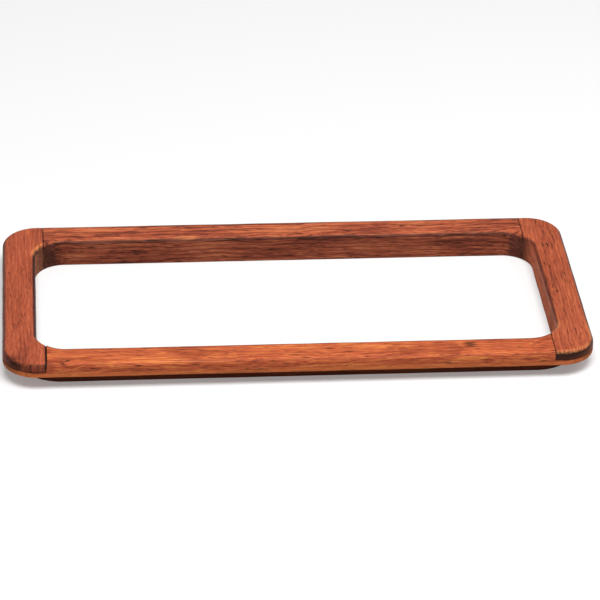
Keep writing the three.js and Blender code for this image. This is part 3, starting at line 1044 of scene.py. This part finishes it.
    finish_frame = nodes.new("NodeFrame")
    finish_frame.label = "Oiled finish"
    sheen = nodes.new("ShaderNodeMapRange")
    sheen.label = "Duller along some fibres"
    sheen.parent = finish_frame
    sheen.inputs["From Min"].default_value = 0.3
    sheen.inputs["From Max"].default_value = 0.7
    sheen.inputs["To Min"].default_value = 0.38
    sheen.inputs["To Max"].default_value = 0.62
    dull_ends = nodes.new("ShaderNodeMath")
    dull_ends.label = "And dull at the ends"
    dull_ends.parent = finish_frame
    dull_ends.operation = "MULTIPLY_ADD"
    dull_ends.inputs[1].default_value = 0.3
    wiped = nodes.new("ShaderNodeMapRange")
    wiped.label = "Upright faces are wiped drier"
    wiped.parent = finish_frame
    wiped.inputs["From Max"].default_value = 0.5
    wiped.inputs["To Max"].default_value = 0.5
    fuzz = nodes.new("ShaderNodeMapRange")
    fuzz.label = "And keep a fuzz of raised fibres"
    fuzz.parent = finish_frame
    fuzz.inputs["From Max"].default_value = 0.4
    fuzz.inputs["To Min"].default_value = 0.25
    fuzz.inputs["To Max"].default_value = 0.0
    fibre_bump = nodes.new("ShaderNodeBump")
    fibre_bump.label = "Raised fibres"
    fibre_bump.parent = finish_frame
    fibre_bump.inputs["Strength"].default_value = 0.5
    fibre_bump.inputs["Distance"].default_value = 0.00025
    pore_bump = nodes.new("ShaderNodeBump")
    pore_bump.label = "Sunken pores"
    pore_bump.parent = finish_frame
    pore_bump.invert = True
    pore_bump.inputs["Strength"].default_value = 0.6
    pore_bump.inputs["Distance"].default_value = 0.0002
    shader = nodes.new("ShaderNodeBsdfPrincipled")
    shader.label = "Oiled teak"
    shader.parent = finish_frame
    shader.inputs["IOR"].default_value = 1.25
    shader.inputs["Specular Tint"].default_value = (1.0, 0.62, 0.42, 1.0)
    shader.inputs["Sheen Roughness"].default_value = 0.6
    shader.inputs["Sheen Tint"].default_value = (0.95, 0.36, 0.22, 1.0)
    output = nodes.new("ShaderNodeOutputMaterial")
    output.label = "Rail"
    output.parent = finish_frame
    links.new(fibres.outputs["Fac"], sheen.inputs["Value"])
    links.new(end_depth.outputs["Value"], dull_ends.inputs[0])
    links.new(sheen.outputs["Result"], dull_ends.inputs[2])
    links.new(with_fine.outputs["Value"], fibre_bump.inputs["Height"])
    links.new(pore_depth.outputs["Result"], pore_bump.inputs["Height"])
    links.new(fibre_bump.outputs["Normal"], pore_bump.inputs["Normal"])
    links.new(facing_parts.outputs["Z"], wiped.inputs["Value"])
    links.new(wiped.outputs["Result"], shader.inputs["Specular IOR Level"])
    links.new(facing_parts.outputs["Z"], fuzz.inputs["Value"])
    links.new(fuzz.outputs["Result"], shader.inputs["Sheen Weight"])
    links.new(seam_mix.outputs[2], shader.inputs["Base Color"])
    links.new(dull_ends.outputs["Value"], shader.inputs["Roughness"])
    links.new(pore_bump.outputs["Normal"], shader.inputs["Normal"])
    links.new(shader.outputs["BSDF"], output.inputs["Surface"])

    rows = {}
    for node in nodes:
        if node.parent is not None:
            row = rows.setdefault(node.parent.label, [])
            node.location = (260 * len(row), -420 * len(rows))
            row.append(node)
    return material


# How far the joints at a rail's left and right end stand open at the top; below zero is tight.
FRONT_OPENINGS = (0.0011, -0.0001)
BACK_OPENINGS = (0.0001, -0.0002)

front_rail = long_rail("front_rail_wood", -1, FRONT_OPENINGS)
back_rail = long_rail("back_rail_wood", 1, BACK_OPENINGS)
front_rail.data.materials.append(oiled_teak(
    name="front_rail_teak",
    turn=0.0,
    log_place=(0.35, 0.090, 0.020),
    tones=((0.19, 0.034, 0.015), (0.33, 0.065, 0.025), (0.43, 0.095, 0.033), (0.56, 0.178, 0.046)),
    patches=0.5,
    rings_shown=0.4,
    pores_from=0.63,
    shade_by_facing=((-1.0, 0.2), (-0.93, 0.22), (-0.75, 0.1), (-0.4, 0.0), (0.0, 0.0), (0.2, 0.4), (0.9, 0.7)),
    ends_shown=0.9,
    lower_edge_light=0.32,
    highlight_spot=(-0.085, -0.105, 0.040),
    highlight_shares=(0.22, 0.0),
    stain=(0.127, -0.0925, 0.022, 0.0065),
    soaked=(0.5, 1.0),
))
back_rail.data.materials.append(oiled_teak(
    name="back_rail_teak",
    turn=0.0,
    log_place=(1.3, -0.125, 0.030),
    tones=((0.13, 0.026, 0.015), (0.27, 0.056, 0.026), (0.37, 0.086, 0.036), (0.49, 0.143, 0.058)),
    patches=0.8,
    rings_shown=0.9,
    pores_from=0.60,
    shade_by_facing=((-1.0, 0.46), (-0.98, 0.50), (-0.93, 0.85), (-0.78, 0.75), (-0.6, 0.12), (-0.3, 0.0),
           (0.0, 0.0), (0.2, 0.65), (0.9, 0.8)),
    ends_shown=0.95,
    lower_edge_light=0.2,
    highlight_spot=(-0.078, 0.089, 0.012),
    highlight_shares=(0.4, 0.0),
    # This patch darkens the lower inner corner at the back left.
    stain=(-0.188, 0.078, 0.006, 0.018),
    soaked=(0.15, 0.9),
))
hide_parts("front_long_rail")
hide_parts("back_long_rail")
for rail in (front_rail, back_rail):
    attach(rail, "root")


# ---- The end rails ---------------------------------------------------------------------------
# Two shorter teak rails that run through to the front and back faces. Each end is a fork: an
# upper and a lower cheek with an open mortise between them, which holds the long rail's tenon.


def end_rail(name, side):
    """An end rail: its section between the mortises, and two cheeks at each end.

    The section runs along Y between the mortises. Each cheek keeps the rows above or below
    its mortise, fanned out from the point where the shoulder meets the opening.
    """
    mortise_bottom = CHEEK_THICKNESS - JOINT_GAP
    mortise_top = HEIGHT - CHEEK_THICKNESS + JOINT_GAP
    bend = OPENING[1] - INNER_CORNER_RADIUS
    into_bend = np.linspace(bend, MORTISE_END, BEND_PLACES)
    places = np.concatenate([-into_bend[::-1], np.linspace(-bend, bend, 40)[1:-1], into_bend])
    upper = upper_rows(mortise_top)
    lower = lower_rows(mortise_bottom)
    outside = rebate_rows(mortise_bottom, mortise_top)
    body = straight_points([*upper, *lower, *outside[1:-1]], places, False)
    patches = [(mirrored(body, side, 1), True)]
    caps = []
    hub = (MORTISE_SHOULDER, MORTISE_END)
    upper_cheek = corner_points(upper, hub, CORNER_BEARINGS)
    lower_cheek = corner_points(lower, hub, CORNER_BEARINGS)
    mortise_face = straight_points(outside, np.array([MORTISE_END]), False)[:, 0]
    hub_edge = np.array([(*hub, mortise_top), (*hub, mortise_bottom)])
    mortise_face = np.concatenate([mortise_face, hub_edge])
    for end in (-1, 1):
        patches.append((mirrored(upper_cheek, side, end), True))
        patches.append((mirrored(lower_cheek, side, end), True))
        caps.append(mirrored(upper_cheek[:, 0], side, end))
        caps.append(mirrored(lower_cheek[:, 0], side, end))
        caps.append(mirrored(mortise_face, side, end))
    return piece_from_patches(name, patches, caps)


left_end = end_rail("left_end_wood", -1)
right_end = end_rail("right_end_wood", 1)
left_end.data.materials.append(oiled_teak(
    name="left_end_teak",
    turn=-math.pi / 2,
    log_place=(2.1, 0.16, 0.05),
    tones=((0.18, 0.036, 0.018), (0.27, 0.055, 0.025), (0.33, 0.072, 0.032), (0.41, 0.100, 0.044)),
    patches=0.4,
    rings_shown=0.25,
    pores_from=0.665,
    shade_by_facing=((-1.0, 0.9), (-0.93, 1.0), (-0.68, 1.0), (-0.42, 0.0),
           (0.35, 0.0), (0.68, 0.75), (0.93, 0.8), (1.0, 0.4)),
    ends_shown=0.78,
    lower_edge_light=0.2,
    highlight_spot=(-0.190, 0.074, 0.018),
    highlight_shares=(0.55, 0.14),
    stain=(-0.214, -0.099, 0.015, 0.013),
    soaked=(0.5, 1.0),
))
right_end.data.materials.append(oiled_teak(
    name="right_end_teak",
    turn=-math.pi / 2,
    log_place=(3.4, -0.19, 0.06),
    tones=((0.17, 0.035, 0.017), (0.28, 0.058, 0.025), (0.34, 0.077, 0.033), (0.42, 0.106, 0.044)),
    patches=0.5,
    rings_shown=0.35,
    pores_from=0.635,
    shade_by_facing=((-1.0, 0.4), (-0.93, 0.95), (-0.7, 0.9), (-0.45, 0.0),
           (0.45, 0.0), (0.72, 0.65), (0.9, 0.5), (1.0, 0.05)),
    ends_shown=1.0,
    lower_edge_light=0.2,
    highlight_spot=(0.205, -0.088, 0.032),
    highlight_shares=(0.4, 0.0),
    stain=(0.196, -0.042, 0.010, 0.0125),
    soaked=(0.1, 0.9),
))
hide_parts("left_end_rail")
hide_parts("right_end_rail")
for rail in (left_end, right_end):
    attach(rail, "root")


# ---- The glue lines --------------------------------------------------------------------------
# Dark resorcinol glue fills the gap round each tenon, and has shrunk back a little from the
# surface as it cured. The front left joint stands open at the top, so its line is the broadest.


def corner_glue(name, x_side, y_side, sunk, openings):
    """The glue of one corner: sheets above and below the tenon, and at both shoulders.

    The sheets beside the tenon are fans from the hub, nearly a gap thick. Those at the
    shoulders are the rail's own section carried across the gap, and widened where the joint
    stands open. All stop short of the surface by the depth that the glue has sunk.
    """
    shoulder = HALF_LENGTH - STOCK_WIDTH
    middle = shoulder + JOINT_GAP / 2
    half_sheet = 0.46 * JOINT_GAP
    tenon_top = HEIGHT - CHEEK_THICKNESS
    hub = (middle, reach(np.array([middle]), OPENING, 0.0, True)[0])
    across_gap = np.array([middle - half_sheet, middle + half_sheet])
    sheets = []
    for outline, level in ((OUTER, tenon_top + JOINT_GAP / 2), (LIP, CHEEK_THICKNESS - JOINT_GAP / 2)):
        low = level - half_sheet
        high = level + half_sheet
        sheet_rows = [(None, 0.0, low), (outline, sunk, low), (outline, sunk, high), (None, 0.0, high)]
        sheets.append(corner_points(sheet_rows, hub, CORNER_BEARINGS))
    upper = [row for row in upper_rows(tenon_top + sunk) if len(row) == 3]
    lower = [row for row in lower_rows(CHEEK_THICKNESS - sunk) if len(row) == 3]
    for rows, drop in ((upper, sunk), (lower, -sunk)):
        sunk_rows = [(outline, inset + sunk, z - drop) for outline, inset, z in rows]
        sheets.append(straight_points(sunk_rows, across_gap, True))
    patches = []
    caps = []
    for sheet in sheets:
        placed = mirrored(sheet, x_side, y_side)
        patches.append((placed, True))
        caps.append(placed[:, 0])
        caps.append(placed[:, -1])
    return piece_from_patches(name, patches, caps, openings)


glue = bpy.data.materials.new("resorcinol_glue")
glue.use_nodes = True
nodes = glue.node_tree.nodes
links = glue.node_tree.links
nodes.clear()
glue_frame = nodes.new("NodeFrame")
glue_frame.label = "Cured glue"
glue_place = nodes.new("ShaderNodeTexCoord")
glue_place.label = "Place on the frame"
glue_place.parent = glue_frame
glue_place.location = (0, 0)
glue_noise = nodes.new("ShaderNodeTexNoise")
glue_noise.label = "Beads and gaps, 2 mm long"
glue_noise.parent = glue_frame
glue_noise.location = (220, 0)
glue_noise.inputs["Scale"].default_value = 500.0
glue_noise.inputs["Detail"].default_value = 3.0
glue_tone = nodes.new("ShaderNodeValToRGB")
glue_tone.label = "Almost black to reddish brown"
glue_tone.parent = glue_frame
glue_tone.location = (440, 0)
glue_tone.color_ramp.elements[0].position = 0.40
glue_tone.color_ramp.elements[0].color = (0.005, 0.002, 0.002, 1.0)
glue_tone.color_ramp.elements[1].position = 0.72
glue_tone.color_ramp.elements[1].color = (0.040, 0.012, 0.007, 1.0)
glue_bump = nodes.new("ShaderNodeBump")
glue_bump.label = "Uneven beads"
glue_bump.parent = glue_frame
glue_bump.location = (440, -260)
glue_bump.inputs["Strength"].default_value = 0.5
glue_bump.inputs["Distance"].default_value = 0.0001
shader = nodes.new("ShaderNodeBsdfPrincipled")
shader.label = "Dull glue"
shader.location = (740, 0)
shader.inputs["Roughness"].default_value = 0.7
shader.inputs["Specular IOR Level"].default_value = 0.1
output = nodes.new("ShaderNodeOutputMaterial")
output.label = "Glue line"
output.location = (1040, 0)
links.new(glue_place.outputs["Object"], glue_noise.inputs["Vector"])
links.new(glue_noise.outputs["Fac"], glue_tone.inputs["Fac"])
links.new(glue_noise.outputs["Fac"], glue_bump.inputs["Height"])
links.new(glue_tone.outputs["Color"], shader.inputs["Base Color"])
links.new(glue_bump.outputs["Normal"], shader.inputs["Normal"])
links.new(shader.outputs["BSDF"], output.inputs["Surface"])

for name, x_side, y_side, sunk, openings in (
    ("glue_front_left", -1, -1, 0.0004, FRONT_OPENINGS),
    ("glue_front_right", 1, -1, 0.0002, FRONT_OPENINGS),
    ("glue_back_right", 1, 1, 0.00015, BACK_OPENINGS),
    ("glue_back_left", -1, 1, 0.0002, BACK_OPENINGS),
):
    joint = corner_glue(name, x_side, y_side, sunk, openings)
    joint.data.materials.append(glue)
    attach(joint, "root")


# ---- The corner dowels -----------------------------------------------------------------------
# Fluted beech dowels, driven up from the underside through the lower cheek and the tenon into
# the upper cheek. Their chamfered lower ends are flush with the lip's underside.

DOWEL_CLEARANCE = 0.00015
DRILL_OVERSHOOT = 0.002
DOWEL_CHAMFER = 0.0006
FLUTES = 18
POINTS_PER_FLUTE = 8
FLUTE_DEPTH = 0.00028


def turned_points(radius, low, high, chamfer, flute_depth, centre):
    """A chamfered, fluted pin as a grid of rows up its length by points round it.

    The radius at a bearing is the full radius less the flute depth times the square of the
    sine of half the bearing times the number of flutes. The rows go from a pole at the lower
    end, out over the chamfer, up the side and in to a pole at the upper end.
    """
    bearings = np.linspace(0.0, 2 * math.pi, FLUTES * POINTS_PER_FLUTE + 1)
    flutes = flute_depth * np.sin(bearings * FLUTES / 2) ** 2
    reaches = np.array([0.0, 0.5, 1.0, 1.0, 1.0, 1.0, 0.5, 0.0]) * (radius - chamfer)
    chamfers = np.array([0, 0, 0, 1, 1, 0, 0, 0]) * chamfer
    fluted = np.array([0, 0, 0.3, 1, 1, 0.3, 0, 0])
    heights = np.array([low, low, low, low + chamfer, high - chamfer, high, high, high])
    out = (reaches + chamfers)[:, None] - fluted[:, None] * flutes
    points = np.empty((len(heights), len(bearings), 3))
    points[:, :, 0] = centre.x + out * np.cos(bearings)
    points[:, :, 1] = centre.y + out * np.sin(bearings)
    points[:, :, 2] = heights[:, None]
    return points


def turned_piece(name, points):
    """A closed piece from a grid that runs from pole to pole."""
    faces = grid_faces(points.shape[0], points.shape[1], False)
    return closed_piece(name, points.reshape(-1, 3), faces.tolist(), 1e-7)


def bore(piece, drill):
    """Cut the drill's shape out of a piece's mesh, and leave the mesh closed."""
    cut = piece.modifiers.new("bore", "BOOLEAN")
    cut.operation = "DIFFERENCE"
    cut.solver = "MANIFOLD"
    cut.object = drill
    evaluated = piece.evaluated_get(bpy.context.evaluated_depsgraph_get())
    bored = bpy.data.meshes.new_from_object(evaluated)
    piece.modifiers.clear()
    unbored = piece.data
    piece.data = bored
    bpy.data.meshes.remove(unbored)
    bored.name = piece.name
    bored.set_sharp_from_angle(angle=CREASE_ANGLE)


beech = bpy.data.materials.new("bare_beech")
beech.use_nodes = True
nodes = beech.node_tree.nodes
links = beech.node_tree.links
nodes.clear()
beech_frame = nodes.new("NodeFrame")
beech_frame.label = "Straight grain with short rays"
beech_place = nodes.new("ShaderNodeTexCoord")
beech_place.label = "Place on the frame"
beech_place.parent = beech_frame
beech_place.location = (0, 0)
grain_stretch = nodes.new("ShaderNodeMapping")
grain_stretch.label = "Grain up the dowel"
grain_stretch.parent = beech_frame
grain_stretch.location = (220, 0)
grain_stretch.inputs["Scale"].default_value = (1400.0, 1400.0, 90.0)
grain_noise = nodes.new("ShaderNodeTexNoise")
grain_noise.label = "Grain"
grain_noise.parent = beech_frame
grain_noise.location = (440, 0)
grain_noise.inputs["Scale"].default_value = 1.0
grain_noise.inputs["Detail"].default_value = 4.0
ray_stretch = nodes.new("ShaderNodeMapping")
ray_stretch.label = "Ray flecks 1 mm long"
ray_stretch.parent = beech_frame
ray_stretch.location = (220, -300)
ray_stretch.inputs["Scale"].default_value = (3200.0, 3200.0, 700.0)
ray_noise = nodes.new("ShaderNodeTexNoise")
ray_noise.label = "Rays"
ray_noise.parent = beech_frame
ray_noise.location = (440, -300)
ray_noise.inputs["Scale"].default_value = 1.0
grain_tone = nodes.new("ShaderNodeValToRGB")
grain_tone.label = "Cream to pinkish tan"
grain_tone.parent = beech_frame
grain_tone.location = (660, 0)
grain_tone.color_ramp.elements[0].position = 0.32
grain_tone.color_ramp.elements[0].color = (0.36, 0.20, 0.095, 1.0)
grain_tone.color_ramp.elements[1].position = 0.68
grain_tone.color_ramp.elements[1].color = (0.60, 0.40, 0.22, 1.0)
ray_share = nodes.new("ShaderNodeMapRange")
ray_share.label = "Only the strongest rays"
ray_share.parent = beech_frame
ray_share.location = (660, -300)
ray_share.inputs["From Min"].default_value = 0.56
ray_share.inputs["From Max"].default_value = 0.68
ray_mix = nodes.new("ShaderNodeMix")
ray_mix.label = "Brown ray flecks"
ray_mix.parent = beech_frame
ray_mix.location = (960, 0)
ray_mix.data_type = "RGBA"
ray_mix.inputs[7].default_value = (0.20, 0.085, 0.035, 1.0)
grain_bump = nodes.new("ShaderNodeBump")
grain_bump.label = "Grain left by the cutter"
grain_bump.parent = beech_frame
grain_bump.location = (960, -300)
grain_bump.inputs["Strength"].default_value = 0.5
grain_bump.inputs["Distance"].default_value = 0.0001
shader = nodes.new("ShaderNodeBsdfPrincipled")
shader.label = "Bare beech"
shader.location = (1260, 0)
shader.inputs["Roughness"].default_value = 0.72
shader.inputs["Specular IOR Level"].default_value = 0.3
output = nodes.new("ShaderNodeOutputMaterial")
output.label = "Dowel"
output.location = (1560, 0)
links.new(beech_place.outputs["Object"], grain_stretch.inputs["Vector"])
links.new(grain_stretch.outputs["Vector"], grain_noise.inputs["Vector"])
links.new(beech_place.outputs["Object"], ray_stretch.inputs["Vector"])
links.new(ray_stretch.outputs["Vector"], ray_noise.inputs["Vector"])
links.new(grain_noise.outputs["Fac"], grain_tone.inputs["Fac"])
links.new(ray_noise.outputs["Fac"], ray_share.inputs["Value"])
links.new(ray_share.outputs["Result"], ray_mix.inputs[0])
links.new(grain_tone.outputs["Color"], ray_mix.inputs[6])
links.new(grain_noise.outputs["Fac"], grain_bump.inputs["Height"])
links.new(ray_mix.outputs[2], shader.inputs["Base Color"])
links.new(grain_bump.outputs["Normal"], shader.inputs["Normal"])
links.new(shader.outputs["BSDF"], output.inputs["Surface"])

for corner, rail, end in (
    ("front_left", front_rail, left_end),
    ("front_right", front_rail, right_end),
    ("back_right", back_rail, right_end),
    ("back_left", back_rail, left_end),
):
    low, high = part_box("corner_dowel_" + corner)
    centre = (low + high) / 2
    radius = (high.x - low.x) / 2
    hole_top = high.z + JOINT_GAP
    hole = turned_points(
        radius + DOWEL_CLEARANCE, -DRILL_OVERSHOOT, hole_top,
        chamfer=0.0, flute_depth=0.0, centre=centre,
    )
    drill = turned_piece("drill", hole)
    bore(rail, drill)
    bore(end, drill)
    bpy.data.meshes.remove(drill.data)
    pin = turned_points(radius, low.z, high.z, DOWEL_CHAMFER, FLUTE_DEPTH, centre)
    dowel = turned_piece("dowel_" + corner, pin)
    dowel.data.materials.append(beech)
    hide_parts("corner_dowel_" + corner)
    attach(dowel, "root")
